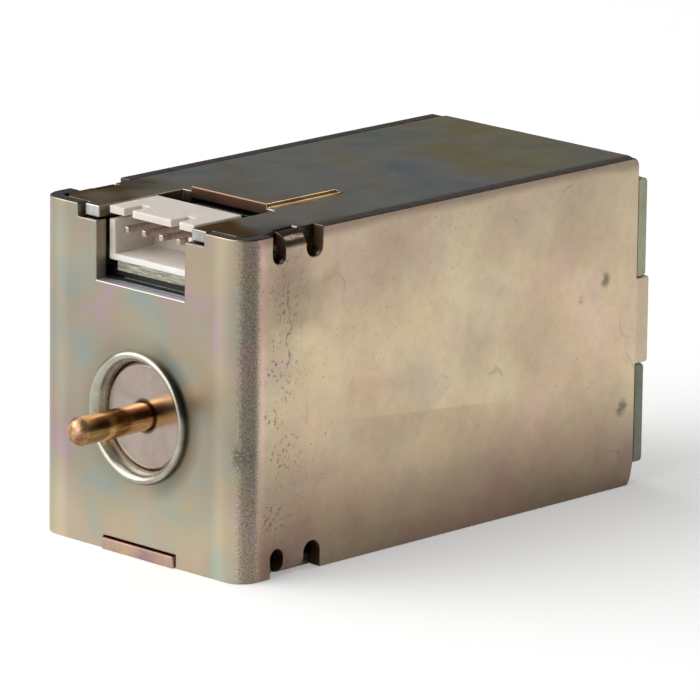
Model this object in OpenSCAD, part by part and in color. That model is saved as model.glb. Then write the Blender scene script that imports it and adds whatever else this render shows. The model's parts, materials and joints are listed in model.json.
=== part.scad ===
// Shunt trip release: a solenoid with a push pin and its drive board in a folded sheet-steel case.
// The origin is on the push pin's axis, in the plane of the front wall. X is right, Y to the rear, Z up.

/* [Case] */
// Width over the two side walls
case_w = 30; // [29.8:0.1:31]
// Height over the top and bottom plates
case_h = 36; // [36:0.1:36.4]
// Depth of the side walls from the front face
case_l = 59; // [59:0.5:62]
// Height of the push pin's axis above the base
axis_h = 15; // [14.9:0.05:15.1]
// Thickness of the front and side sheet
wall_t = 1.5; // [1.4:0.05:1.6]
// Outside radius of the two vertical front bends
wall_bend_r = 2.5; // [2:0.1:2.6]
// Thickness of the top, rear and bottom sheet
plate_t = 1.3; // [1.2:0.05:1.35]
// Outside radius of the two rear bends
plate_bend_r = 2; // [1.6:0.1:2.2]

/* [Connector opening] */
// Width of the deep notch in the front wall
notch_w = 13; // [12.8:0.1:13.4]
// Height of the deep notch
notch_h = 7.6; // [7.4:0.1:7.8]
// Width over the two shallow steps that take the top plate's front tabs
step_w = 18.6; // [18:0.1:20]
// Height of the shallow steps
step_h = 1.4; // [1.4:0.05:1.6]
// Width of the window in the top plate
window_w = 13.6; // [13.2:0.1:14]
// Rear edge of the window
window_y = 12.6; // [12:0.1:12.9]
// Width of the half-sheared tongue behind the window
tongue_w = 11.2; // [9:0.1:12]
// Rear root of the tongue
tongue_y = 23.6; // [20:0.1:26]
// Lift of the tongue
tongue_lift = 0.5; // [0.3:0.05:0.7]

/* [Crimps and finger joints] */
// Middle of each crimped tab from the front face
crimp_y = 7.6; // [7:0.1:8.5]
// Width of each crimped tab
crimp_w = 3; // [2.6:0.1:3.4]
// Width of the round-ended slot in front of each crimped tab
crimp_front_slot_w = 1.8; // [1.6:0.1:2]
// Width of the round-ended slot behind it
crimp_rear_slot_w = 2.3; // [2:0.1:2.4]
// Depth of those slots
crimp_slot_d = 3; // [2.8:0.1:3.2]
// Angle that each crimped tab leans in
crimp_angle = 75; // [70:1:76]
// Lower end of the side walls' rear tabs above the base
rear_tab_lo = 13.3; // [12.5:0.1:14]
// Upper end of the side walls' rear tabs above the base
rear_tab_hi = 22.8; // [22:0.1:24]
// How far the rear tabs reach behind the side walls' rear edge
rear_tab_l = 1.9; // [1.4:0.1:2.4]
// Gap between the rear plate's ears and the top and base
ear_end = 2.4; // [2.2:0.1:3]

/* [Solenoid] */
// Radius of the push pin
pin_r = 1.5; // [1.3:0.05:1.6]
// Reach of the push pin in front of the front face
pin_reach = 9.4; // [8:0.1:11]
// Stroke of the push pin
stroke = 5; // [4:0.1:5.2]
// Bore radius of the guide tube
tube_r = 5.75; // [5.7:0.05:5.8]
// Wall of the guide tube
tube_t = 0.5; // [0.4:0.05:0.55]
// Outside radius of the guide tube's rolled front rim
rim_r = 7.05; // [7:0.05:7.3]
// Height of the rolled rim over the front face
rim_h = 0.75; // [0.7:0.05:0.9]
// Outside radius of the winding
coil_r = 10.8; // [9.5:0.1:10.9]
// Thickness of the yoke's sheet
yoke_t = 1.2; // [1.1:0.05:1.3]
// Length of the coil's former
bobbin_l = 39; // [37:0.5:39.5]

/* [Board and header] */
// Thickness of the circuit board
board_t = 1; // [0.8:0.05:1]
// Height of the board's upper face above the base
board_h = 30.4; // [30.4:0.05:30.5]
// Spacing of the header's pins
pin_pitch = 2.54; // [2.5:0.01:2.54]
// Width of a square header pin
pin_w = 0.64; // [0.5:0.02:0.64]

/* [Hidden] */
$fn = 64;

// Small clearances: between sheets that meet, round a fixed fit, and round a sliding fit
seat_gap = 0.05;
fixed_gap = 0.03;
slide_gap = 0.05;
// Overshoot of a cut through a face
over = 1;

// Case levels
base_z = -axis_h;
top_z = case_h - axis_h;
mid_z = (base_z + top_z) / 2;
half_w = case_w / 2;
inner_x = half_w - wall_t;
plate_x = inner_x - seat_gap;
plate_y0 = wall_t + seat_gap;
ceiling_z = top_z - plate_t;
floor_z = base_z + plate_t;
rear_in_y = case_l + seat_gap;
rear_out_y = rear_in_y + plate_t;

// Crimped tabs: bend, straight tip and the notch that takes each one
crimp_y0 = crimp_y - crimp_w / 2;
crimp_y1 = crimp_y + crimp_w / 2;
crimp_shoulder = 0.3;
crimp_bend_r = 0.1;
crimp_tip_l = 0.6;
crimp_rise = (crimp_bend_r + wall_t) * sin(crimp_angle) + crimp_tip_l * cos(crimp_angle);
crimp_foot_z = top_z - seat_gap - crimp_rise;
crimp_relief = 0.1;
crimp_notch_d = 0.9;

// Case trim: base tab, front tabs, corners, and the slope at the tongue's root
base_tab_w = 10.6;
base_tab_proud = 0.3;
base_notch_gap = 0.1;
base_notch_room = 0.1;
base_notch_h = plate_t + base_notch_room;
front_tab_end = 0.7;
front_tab_gap = 0.35;
plate_corner = 1.1;
corner_top_r = 1;
corner_base_l = 0.85;
corner_base_h = 2.6;
corner_knee = [0.4, 0.75];
tab_corner_r = 0.4;
ear_corner_r = 0.5;
tongue_slope = 1;

// Magnet stations along the axis
yoke_in_y = plate_y0 + yoke_t;
bobbin_y0 = yoke_in_y + seat_gap;
bobbin_y1 = bobbin_y0 + bobbin_l;
yoke_rear_y = bobbin_y1 + seat_gap;
yoke_y1 = yoke_rear_y + yoke_t;
yoke_half_w = 12;
yoke_top_z = top_z - notch_h;
yoke_base_z = floor_z + seat_gap;
yoke_bend_r = 1.8;
tube_out = tube_r + tube_t;
tube_overhang = 8.5;
tube_end_y = yoke_y1 + tube_overhang;
rim_edge_r = 0.55;

// Pole piece, armature, washer, spring and stops
pole_y0 = 0.8;
pole_y1 = 20;
pole_edge = 0.35;
shim_t = 0.2;
air_gap = 0.2;
armature_y0 = pole_y1 + shim_t + stroke + air_gap;
armature_inset = 4.4;
armature_y1 = tube_end_y - armature_inset;
armature_r = tube_r - slide_gap;
armature_edge = 0.4;
pin_seat = 9;
pin_tip_r = 1.1;
spring_pocket_r = 3.2;
spring_front_y = 12;
spring_seat = 3;
spring_rear_y = armature_y0 + spring_seat;
spring_wire_r = 0.3;
spring_mean_r = 2.35;
spring_turns = 9;
spring_sides = 8;
spring_steps = 20;
buffer_t = 1.2;
buffer_y0 = armature_y1 + air_gap;
plug_flange_t = 1;

// Coil former and its terminals
former_t = 0.9;
former_r = tube_out + fixed_gap + former_t;
flange_r = 11.5;
flange_front_t = 1.2;
flange_rear_t = 3.4;
flange_block_w = 10.4;
flange_block_z = 8;
tape_t = 0.3;
coil_y0 = bobbin_y0 + flange_front_t + seat_gap;
coil_y1 = bobbin_y1 - flange_rear_t - seat_gap;
terminal_x = 3.81;
terminal_y = bobbin_y1 - flange_rear_t / 2;
terminal_r = 0.4;
terminal_z0 = 9;

// Board and its tray
board_z1 = base_z + board_h;
board_z0 = board_z1 - board_t;
board_inset = 0.1;
board_y0 = wall_t + board_inset;
board_y1 = 56;
board_half_w = 12.4;
board_nose_half_w = 5;
board_nose_l = 3;
board_hole_r = 0.55;
tail_l = 0.6;
tray_y0 = yoke_in_y + seat_gap;
tray_y1 = 57.2;
tray_half_w = 13.2;
tray_z0 = yoke_top_z + seat_gap;
tray_z1 = board_z0 - seat_gap;
tray_lip_h = 2.4;
tray_lip_t = 0.6;
tray_lip_y0 = 13;
tray_pocket = [10.6, 2.6];
film_t = 0.2;
film_half_w = 12.6;
film_y0 = 13;
film_z1 = ceiling_z - seat_gap;

// Header and its pins
pin_count = 4;
header_end = 2.4;
header_half_w = (pin_count - 1) * pin_pitch / 2 + header_end;
header_y1 = 8.4;
header_proud = 0.05;
header_z1 = top_z + header_proud;
header_wall = 0.8;
header_floor = 0.7;
header_depth = 5.6;
header_pin_h = 3.45;
header_pin_z = board_z1 + header_pin_h;
header_slot_w = 1.25;
header_slot_l = 2.5;
header_slot_x = 3.45;
header_slit_h = 0.6;
header_slit_l = 3;
pin_tip_inset = 0.1;
pin_tip_y = board_y0 + pin_tip_inset;
pin_tail_gap = 0.7;
pin_tail_y = header_y1 + pin_tail_gap;
pin_xs = [for (i = [0:pin_count - 1]) (i - (pin_count - 1) / 2) * pin_pitch];

// Solder fillets
solder_r = 0.95;
solder_top_r = 0.55;
solder_h = 0.7;

// Board parts: each one's size and its place on the board
bridge_size = [8.2, 6.4, 2.6];
bridge_at = [-7, 19];
chip_size = [4.9, 3.9, 1.5];
chip_at = [-6.4, 29.4];
transistor_size = [10, 8.6, 3.8];
transistor_at = [6.2, 31];
transistor_tab = [9.2, 1.6, 1.3];
transistor_leg = [0.9, 3.2, 0.5];
transistor_leg_x = 2.54;
transistor_knee_y = 1.2;
transistor_knee_z = 2;
varistor_r = 4.6;
varistor_t = 3.2;
varistor_edge = 1.2;
varistor_lift = 0.4;
varistor_at = [6.2, 18.6];
varistor_wire_r = 0.3;
varistor_wire_x = 2;
capacitor_size = [7.3, 4.3, 3.6];
capacitor_cap = 1.3;
capacitor_x = 6.5;
capacitor_ys = [46, 51.6];
resistor_size = [3.2, 1.6, 0.6];
resistor_cap = 0.5;
resistor_xs = [-10, -5.6, -1.2];
resistor_ys = [35.4, 47.5, 50.6, 53.6];
diode_size = [3.4, 2.6, 2.2];
diode_cap = 0.6;
diode_x = -0.6;
diode_ys = [22.8, 27.4, 31.8];

// A box between two corners
module block(low, high) {
    translate(low) cube(high - low);
}

// A cylinder along Y
module rod(r, y0, y1) {
    translate([0, y0, 0]) rotate([-90, 0, 0]) cylinder(r = r, h = y1 - y0);
}

// A cylinder along X, through the right wall
module wall_rod(r, y, z) {
    through_wall() translate([y, z]) circle(r);
}

// A tube along Y
module pipe(r_in, r_out, y0, y1) {
    difference() {
        rod(r_out, y0, y1);
        rod(r_in, y0 - over, y1 + over);
    }
}

// Turns a profile of radius and station about the push pin's axis
module turned() {
    rotate([-90, 0, 0]) rotate_extrude() children();
}

// Extrudes a profile of Y and Z along X, from x0 to x1
module side_profile(x0, x1) {
    translate([x0, 0, 0]) rotate([90, 0, 90]) linear_extrude(x1 - x0) children();
}

// Extrudes a profile of Y and Z along X, through the right wall
module through_wall() {
    side_profile(inner_x - over, half_w + over) children();
}

// A rectangle of Y and Z whose two rear corners are round
module round_rear(y0, y1, z0, z1, r) {
    translate([y0, z0]) square([y1 - r - y0, z1 - z0]);
    translate([y0, z0 + r]) square([y1 - y0, z1 - z0 - 2 * r]);
    for (z = [z0 + r, z1 - r]) translate([y1 - r, z]) circle(r);
}

// Copies its children to the right and left sides
module both_sides() {
    children();
    mirror([1, 0, 0]) children();
}

// Copies its children to the top and bottom edges of the case
module top_and_base() {
    children();
    translate([0, 0, 2 * mid_z]) mirror([0, 0, 1]) children();
}

// Plan of the front and side walls, with round front corners of radius r
module wrap_outline(half, y0, y1, r) {
    translate([-half, y0 + r]) square([2 * half, y1 - y0 - r]);
    translate([-half + r, y0]) square([2 * half - 2 * r, r + over]);
    for (x = [-half + r, half - r]) translate([x, y0 + r]) circle(r);
}

// One round-ended slot of width w, open at the top edge of the right wall
module crimp_slot(y0, w) {
    z0 = top_z - crimp_slot_d + w / 2;
    block([inner_x - over, y0, z0], [half_w + over, y0 + w, top_z + over]);
    wall_rod(w / 2, y0 + w / 2, z0);
}

// What is cut from the right wall's top edge for one crimped tab
module crimp_cut() {
    crimp_slot(crimp_y0 - crimp_front_slot_w, crimp_front_slot_w);
    crimp_slot(crimp_y1, crimp_rear_slot_w);
    block([inner_x - over, crimp_y0 - crimp_shoulder, crimp_foot_z],
          [half_w + over, crimp_y1 + crimp_shoulder, top_z + over]);
}

// One crimped tab at the right wall's top edge: a tight bend, then a short straight tip that leans in
module crimp_tab() {
    foot = [inner_x - crimp_bend_r, crimp_y1, crimp_foot_z];
    translate(foot) rotate([90, 0, 0]) linear_extrude(crimp_w) {
        intersection() {
            difference() {
                circle(crimp_bend_r + wall_t);
                circle(crimp_bend_r);
            }
            polygon([[0, 0], [case_w, 0], [case_w, case_w * tan(crimp_angle)]]);
        }
        rotate(crimp_angle) translate([crimp_bend_r, 0]) square([wall_t, crimp_tip_l]);
    }
}

// What is cut from the right wall's rear corners: a round one at the top and a slanted one at the base
module wall_corners() {
    r = corner_top_r;
    difference() {
        block([inner_x - over, case_l - r, top_z - r], [half_w + over, case_l + over, top_z + over]);
        wall_rod(r, case_l - r, top_z - r);
    }
    through_wall() polygon([
        [case_l + over, base_z - over], [case_l - corner_base_l, base_z - over],
        [case_l - corner_base_l, base_z], [case_l - corner_knee[0], base_z + corner_knee[1]],
        [case_l, base_z + corner_base_h], [case_l + over, base_z + corner_base_h]
    ]);
}

// Front wall and side walls, folded from one sheet
module wrap_shell() color("#b8a98c") {
    difference() {
        translate([0, 0, base_z]) linear_extrude(case_h) difference() {
            wrap_outline(half_w, 0, case_l, wall_bend_r);
            wrap_outline(inner_x, wall_t, case_l + over, wall_bend_r - wall_t);
        }
        block([-notch_w / 2, -over, top_z - notch_h], [notch_w / 2, wall_t + over, top_z + over]);
        block([-step_w / 2, -over, top_z - step_h], [step_w / 2, wall_t + over, top_z + over]);
        block([-base_tab_w / 2 - base_notch_gap, -over, base_z - over],
              [base_tab_w / 2 + base_notch_gap, wall_t + over, base_z + base_notch_h]);
        rod(tube_out + seat_gap, -over, wall_t + over);
        both_sides() {
            top_and_base() crimp_cut();
            wall_corners();
        }
    }
    both_sides() {
        top_and_base() crimp_tab();
        side_profile(inner_x, half_w) round_rear(
            case_l - over, case_l + rear_tab_l, base_z + rear_tab_lo, base_z + rear_tab_hi, tab_corner_r
        );
    }
}

// The ears of the rear plate, which lie behind the side walls above and below their rear tabs
module ears() {
    for (span = [[ear_end, rear_tab_lo - seat_gap], [rear_tab_hi + seat_gap, case_h - ear_end]])
        side_profile(-half_w, half_w)
            round_rear(rear_in_y, rear_out_y, base_z + span[0], base_z + span[1], ear_corner_r);
}

// What is cut from a plate's front right corner, so that it clears the wall's bend
module plate_corner_cut() {
    translate([plate_x, plate_y0, ceiling_z - over]) linear_extrude(plate_t + 2 * over)
        polygon([
            [-plate_corner, 0], [0, plate_corner], [over, plate_corner],
            [over, -over], [-plate_corner, -over]
        ]);
}

// Side view of the tongue's raised face over a plate face at z, thickened downwards by t
module tongue_profile(z, t) {
    polygon([
        [window_y, z - t], [window_y, z + tongue_lift], [tongue_y - tongue_slope, z + tongue_lift],
        [tongue_y, z], [tongue_y, z - t]
    ]);
}

// Top, rear and bottom plates, folded from one sheet, with the window and the half-sheared tongue
module channel_frame() color("#8f8a74") {
    difference() {
        side_profile(-plate_x, plate_x) difference() {
            round_rear(plate_y0, rear_out_y, base_z, top_z, plate_bend_r);
            round_rear(-over, rear_in_y, floor_z, ceiling_z, plate_bend_r - plate_t);
        }
        block([-window_w / 2, -over, ceiling_z - over], [window_w / 2, window_y, top_z + over]);
        side_profile(-tongue_w / 2, tongue_w / 2) tongue_profile(ceiling_z, over);
        both_sides() top_and_base() {
            plate_corner_cut();
            block([inner_x - crimp_notch_d, crimp_y0 - crimp_relief, ceiling_z - over],
                  [half_w + over, crimp_y1 + crimp_relief, top_z + over]);
        }
    }
    ears();
    both_sides() block([window_w / 2, front_tab_end, ceiling_z],
                       [step_w / 2 - front_tab_gap, plate_y0 + over, top_z]);
    block([-base_tab_w / 2, -base_tab_proud, base_z], [base_tab_w / 2, plate_y0 + over, floor_z]);
    side_profile(-tongue_w / 2, tongue_w / 2) tongue_profile(top_z, plate_t / 3);
}

// Guide tube of the magnet, its front end rolled over the front wall
module guide_tube() color("#c9c9c4") turned() {
    crown_y = rim_edge_r - rim_h;
    translate([tube_r, crown_y]) square([tube_t, tube_end_y - crown_y]);
    intersection() {
        translate([tube_r, -rim_h]) square([rim_r - tube_r, rim_h]);
        union() {
            translate([tube_r, crown_y]) square([rim_r - tube_r, rim_h]);
            translate([tube_r + rim_edge_r, -rim_h]) square([rim_r - tube_r - 2 * rim_edge_r, rim_h]);
            for (r = [tube_r + rim_edge_r, rim_r - rim_edge_r]) translate([r, crown_y]) circle(rim_edge_r);
        }
    }
}

// Fixed core with the push pin's guide hole and a pocket for the spring
module pole_piece() color("#a39a98") {
    r = tube_r - fixed_gap;
    difference() {
        turned() polygon([
            [0, pole_y0], [r - pole_edge, pole_y0], [r, pole_y0 + pole_edge], [r, pole_y1], [0, pole_y1]
        ]);
        rod(pin_r + slide_gap, pole_y0 - over, pole_y1 + over);
        rod(spring_pocket_r, spring_front_y, pole_y1 + over);
    }
}

// Brass push pin with a rounded tip
module push_pin() color("#b8873a") turned() {
    tip_y = pin_tip_r - pin_reach;
    translate([0, tip_y]) square([pin_r, armature_y0 + pin_seat - tip_y]);
    translate([0, -pin_reach]) square([pin_r - pin_tip_r, pin_reach]);
    translate([pin_r - pin_tip_r, tip_y]) intersection() {
        circle(pin_tip_r);
        translate([0, -pin_tip_r]) square(pin_tip_r);
    }
}

// Moving core, pressed on the push pin
module armature() color("#9aa0a6") {
    r = armature_r;
    e = armature_edge;
    y0 = armature_y0;
    y1 = armature_y1;
    difference() {
        turned() polygon([[0, y0], [r - e, y0], [r, y0 + e], [r, y1 - e], [r - e, y1], [0, y1]]);
        rod(pin_r + fixed_gap, y0 - over, y0 + pin_seat + fixed_gap);
        rod(spring_pocket_r, y0 - over, spring_rear_y);
    }
}

// Point on the spring's wire, by the turn along the coil and the angle round the wire
function spring_point(turn, around) =
    let(
        end = spring_wire_r + seat_gap,
        rise = (spring_rear_y - spring_front_y - 2 * end) / (360 * spring_turns),
        r = spring_mean_r + spring_wire_r * cos(around)
    )
    [r * cos(turn), spring_front_y + end + rise * turn + spring_wire_r * sin(around), r * sin(turn)];

// Compression spring between the pole piece and the armature
module return_spring() color("#d0d4d8") {
    rings = spring_turns * spring_steps;
    n = spring_sides;
    points = [
        for (i = [0:rings]) for (j = [0:n - 1]) spring_point(i * 360 / spring_steps, j * 360 / n)
    ];
    walls = [
        for (i = [0:rings - 1]) for (j = [0:n - 1])
            let(a = i * n, b = a + n, k = (j + 1) % n) [a + j, a + k, b + k, b + j]
    ];
    front = [for (j = [0:n - 1]) n - 1 - j];
    rear = [for (j = [0:n - 1]) rings * n + j];
    polyhedron(points, concat([front], walls, [rear]));
}

// Thin non-magnetic washer on the pole piece
module shim_washer() color("#caa35a")
    pipe(spring_pocket_r, armature_r - armature_edge, pole_y1, pole_y1 + shim_t);

// Rubber pad that the armature comes to rest on
module buffer_pad() color("#2b2b2b") rod(tube_r - armature_edge, buffer_y0, buffer_y0 + buffer_t);

// Plug that closes the guide tube behind the pad
module rear_plug() color("#3a3a3c") {
    rod(tube_r - fixed_gap, buffer_y0 + buffer_t, tube_end_y + plug_flange_t);
    rod(tube_out, tube_end_y + fixed_gap, tube_end_y + plug_flange_t);
}

// Side view of the yoke's strip up to z1, with round lower corners of radius r
module yoke_outline(y0, y1, z0, z1, r) {
    translate([y0, z0 + r]) square([y1 - y0, z1 - z0 - r]);
    translate([y0 + r, z0]) square([y1 - y0 - 2 * r, r + over]);
    for (y = [y0 + r, y1 - r]) translate([y, z0 + r]) circle(r);
}

// Inner magnet yoke: front leg, web and rear leg, folded from one strip
module yoke() color("#b4b0a4") difference() {
    side_profile(-yoke_half_w, yoke_half_w) difference() {
        yoke_outline(plate_y0, yoke_y1, yoke_base_z, yoke_top_z, yoke_bend_r);
        yoke_outline(yoke_in_y, yoke_rear_y, yoke_base_z + yoke_t, yoke_top_z + over, yoke_bend_r - yoke_t);
    }
    rod(tube_out + seat_gap, plate_y0 - over, yoke_y1 + over);
}

// Coil former: a sleeve with two flanges, each with a flat-topped block that carries the board's tray
module bobbin() color("#e4e0d2") difference() {
    union() {
        rod(former_r, bobbin_y0, bobbin_y1);
        for (span = [[bobbin_y0, bobbin_y0 + flange_front_t], [bobbin_y1 - flange_rear_t, bobbin_y1]]) {
            rod(flange_r, span[0], span[1]);
            block([-flange_block_w / 2, span[0], flange_block_z], [flange_block_w / 2, span[1], yoke_top_z]);
        }
    }
    rod(tube_out + fixed_gap, bobbin_y0 - over, bobbin_y1 + over);
    both_sides() translate([terminal_x, terminal_y, terminal_z0])
        cylinder(r = terminal_r + fixed_gap, h = yoke_top_z);
}

// Copper winding
module winding() color("#b0622e") pipe(former_r + fixed_gap, coil_r, coil_y0, coil_y1);

// Tape over the winding
module winding_tape() color("#d6b23c") pipe(coil_r + fixed_gap, coil_r + tape_t, coil_y0, coil_y1);

// Two posts that join the winding to the board
module coil_terminals() color("#d8d8d0") both_sides() translate([terminal_x, terminal_y, terminal_z0])
    cylinder(r = terminal_r, h = board_z1 + solder_h - terminal_z0);

// Insulating tray under the board, with lips at the sides and rear
module board_tray() color("#1f1f20") difference() {
    union() {
        block([-tray_half_w, tray_y0, tray_z0], [tray_half_w, tray_y1, tray_z1]);
        both_sides() block([tray_half_w - tray_lip_t, tray_lip_y0, tray_z0],
                           [tray_half_w, tray_y1, tray_z1 + tray_lip_h]);
        block([-tray_half_w, tray_y1 - tray_lip_t, tray_z0], [tray_half_w, tray_y1, tray_z1 + tray_lip_h]);
    }
    block([-tray_pocket[0] / 2, pin_tail_y - tray_pocket[1] / 2, tray_z0 - over],
          [tray_pocket[0] / 2, pin_tail_y + tray_pocket[1] / 2, tray_z1 + over]);
    both_sides() translate([terminal_x, terminal_y, tray_z0 - over])
        cylinder(r = board_hole_r + terminal_r, h = tray_z1 - tray_z0 + 2 * over);
}

// Circuit board with a narrow nose under the header, and holes for the coil's terminals and the header's pins
module circuit_board() color("#5d6b52") difference() {
    union() {
        block([-board_half_w, board_y0 + board_nose_l, board_z0], [board_half_w, board_y1, board_z1]);
        block([-board_nose_half_w, board_y0, board_z0], [board_nose_half_w, board_y1, board_z1]);
    }
    both_sides() translate([terminal_x, terminal_y, board_z0 - over])
        cylinder(r = board_hole_r, h = board_t + 2 * over);
    for (x = pin_xs) translate([x, pin_tail_y, board_z0 - over])
        cylinder(r = board_hole_r, h = board_t + 2 * over);
}

// Side-entry header: an open-fronted shroud with keying slots in its top wall and a slit in each end wall
module connector_header() color("#f2efe8") difference() {
    slit_z1 = header_z1 - header_wall;
    block([-header_half_w, board_y0, board_z1], [header_half_w, header_y1, header_z1]);
    block([-header_half_w + header_wall, board_y0 - over, board_z1 + header_floor],
          [header_half_w - header_wall, board_y0 + header_depth, header_z1 - header_wall]);
    both_sides() block([header_slot_x - header_slot_w / 2, board_y0 - over, header_z1 - header_wall - over],
                       [header_slot_x + header_slot_w / 2, board_y0 + header_slot_l, header_z1 + over]);
    both_sides() block([header_half_w - header_wall - over, board_y0 - over, slit_z1 - header_slit_h],
                       [header_half_w + over, board_y0 + header_slit_l, slit_z1]);
    for (x = pin_xs) header_pin(x, pin_w + 2 * fixed_gap);
}

// One bent square pin of width w
module header_pin(x, w) {
    knee = [x + w / 2, pin_tail_y + w / 2, header_pin_z + w / 2];
    block([x - w / 2, pin_tip_y, header_pin_z - w / 2], knee);
    block([x - w / 2, pin_tail_y - w / 2, board_z0 - tail_l], knee);
}

// The header's pins
module connector_pins() color("#d9d4c4") for (x = pin_xs) header_pin(x, pin_w);

// A moulded package on the board: body size, leads on each long side, lead width, spacing and reach
module gull_wing(size, leads, lead_w, lead_pitch, reach) {
    foot = 0.25;
    knee_z = size[2] * 0.45;
    block([-size[0] / 2, -size[1] / 2, foot / 2], [size[0] / 2, size[1] / 2, size[2]]);
    for (side = [0, 180]) for (i = [0:leads - 1])
        rotate(side) translate([(i - (leads - 1) / 2) * lead_pitch - lead_w / 2, size[1] / 2, 0])
            rotate([90, 0, 90]) linear_extrude(lead_w)
                polygon([
                    [-foot, knee_z - foot], [reach / 2 - foot, knee_z - foot], [reach / 2 - foot, 0],
                    [reach, 0], [reach, foot], [reach / 2, foot], [reach / 2, knee_z], [-foot, knee_z]
                ]);
}

// A chip part on the board: body size and the length of its end caps
module capped_chip(size, cap) {
    skin = 0.06;
    translate([-size[0] / 2, -size[1] / 2, skin]) cube([size[0], size[1], size[2] - 2 * skin]);
    for (x = [-size[0] / 2 - skin, size[0] / 2 - cap])
        translate([x, -size[1] / 2 - skin, 0]) cube([cap + skin, size[1] + 2 * skin, size[2]]);
}

// Places its children on the board
module on_board(at, turn = 0) {
    translate([at[0], at[1], board_z1]) rotate(turn) children();
}

// Bridge rectifier
module bridge_rectifier() color("#26262a") on_board(bridge_at)
    gull_wing(bridge_size, leads = 2, lead_w = 1.2, lead_pitch = 5.1, reach = 1.6);

// Control chip
module control_chip() color("#222226") on_board(chip_at)
    gull_wing(chip_size, leads = 4, lead_w = 0.42, lead_pitch = 1.27, reach = 1.05);

// Power transistor with its cooling tab and two stepped legs
module power_transistor() color("#2c2c30") on_board(transistor_at) {
    half = transistor_size / 2;
    leg = transistor_leg;
    knee_y = transistor_knee_y;
    knee_z = transistor_knee_z;
    front_y = -half[1];
    block([-half[0], front_y, leg[2] / 4], [half[0], half[1], transistor_size[2]]);
    block([-transistor_tab[0] / 2, half[1] - over, 0],
          [transistor_tab[0] / 2, half[1] + transistor_tab[1], transistor_tab[2]]);
    for (x = [-transistor_leg_x, transistor_leg_x]) translate([x - leg[0] / 2, front_y, 0])
        rotate([90, 0, 90]) linear_extrude(leg[0])
            polygon([
                [over, knee_z], [-knee_y - leg[2], knee_z], [-knee_y - leg[2], leg[2]], [-leg[1], leg[2]],
                [-leg[1], 0], [-knee_y, 0], [-knee_y, knee_z - leg[2]], [over, knee_z - leg[2]]
            ]);
}

// Surge varistor: a coated disc laid flat, with its two wires bent down to the board
module surge_varistor() color("#c98a2b") on_board(varistor_at) {
    wire_y = -varistor_r - over;
    wire_z = varistor_lift + varistor_t / 2;
    translate([0, 0, varistor_lift]) rotate_extrude() {
        square([varistor_r - varistor_edge, varistor_t]);
        translate([0, varistor_edge]) square([varistor_r, varistor_t - 2 * varistor_edge]);
        for (z = [varistor_edge, varistor_t - varistor_edge])
            translate([varistor_r - varistor_edge, z]) circle(varistor_edge);
    }
    for (x = [-varistor_wire_x, varistor_wire_x]) translate([x, wire_y, 0]) {
        translate([0, 0, wire_z]) rotate([-90, 0, 0]) cylinder(r = varistor_wire_r, h = varistor_r);
        translate([0, 0, wire_z]) sphere(varistor_wire_r);
        cylinder(r = varistor_wire_r, h = wire_z);
    }
}

// Two moulded smoothing capacitors with end caps
module smoothing_capacitors() color("#c7a23a")
    for (y = capacitor_ys) on_board([capacitor_x, y]) capped_chip(capacitor_size, capacitor_cap);

// Chip resistors in rows
module chip_resistors() color("#35363a")
    for (x = resistor_xs, y = resistor_ys) on_board([x, y]) capped_chip(resistor_size, resistor_cap);

// Free-wheel and supply diodes
module diodes() color("#2a2a2c")
    for (y = diode_ys) on_board([diode_x, y], 90) capped_chip(diode_size, diode_cap);

// Solder at the coil's terminals, above the board, and at the header's pins, below it
module solder_joints() color("#c4c6c8") {
    both_sides() translate([terminal_x, terminal_y, board_z1]) difference() {
        cylinder(r1 = solder_r, r2 = solder_top_r, h = solder_h - seat_gap);
        translate([0, 0, -over]) cylinder(r = terminal_r + fixed_gap, h = solder_h + 2 * over);
    }
    for (x = pin_xs) translate([x, pin_tail_y, board_z0]) mirror([0, 0, 1]) difference() {
        cylinder(r1 = solder_r, r2 = solder_top_r, h = tail_l - seat_gap);
        cube([pin_w + 2 * fixed_gap, pin_w + 2 * fixed_gap, 4 * tail_l], center = true);
    }
}

// Insulating film under the top plate
module insulating_film() color("#2a2a2c")
    block([-film_half_w, film_y0, film_z1 - film_t], [film_half_w, board_y1, film_z1]);

wrap_shell();
channel_frame();
guide_tube();
pole_piece();
push_pin();
armature();
return_spring();
shim_washer();
buffer_pad();
rear_plug();
yoke();
bobbin();
winding();
winding_tape();
coil_terminals();
board_tray();
circuit_board();
connector_header();
connector_pins();
bridge_rectifier();
power_transistor();
surge_varistor();
smoothing_capacitors();
control_chip();
chip_resistors();
diodes();
solder_joints();
insulating_film();
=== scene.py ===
import json
import math

import bmesh
import bpy
from mathutils import Matrix, Vector
from mathutils.bvhtree import BVHTree

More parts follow.
